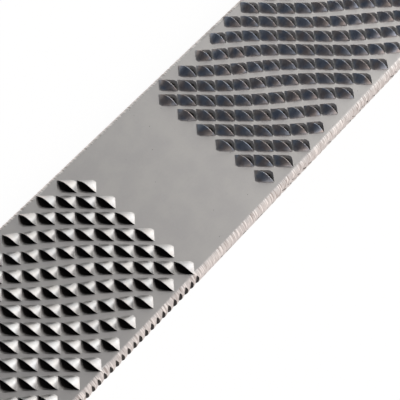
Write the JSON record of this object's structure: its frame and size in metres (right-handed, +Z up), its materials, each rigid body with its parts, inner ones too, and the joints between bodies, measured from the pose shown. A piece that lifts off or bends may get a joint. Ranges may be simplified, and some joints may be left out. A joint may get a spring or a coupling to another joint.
{
  "type": "horse rasp",
  "caption": "Double-ended hand rasp: one flat steel bar with raised teeth on top, a file cut underneath, saw-cut long edges and a bare middle band to hold.",
  "frame": {"origin": "centre of the bar on the underside that it rests on", "axes": "+X along the bar, +Y across it, +Z up through the face with the raised teeth"},
  "size_m": [0.35, 0.042, 0.0075],
  "materials": {
    "tool_steel": "satin ground and hardened tool steel, bare, with bright worn tooth crests"
  },
  "bodies": {
    "root": {"rasp_blade": "tool_steel"}
  },
  "joints": []
}
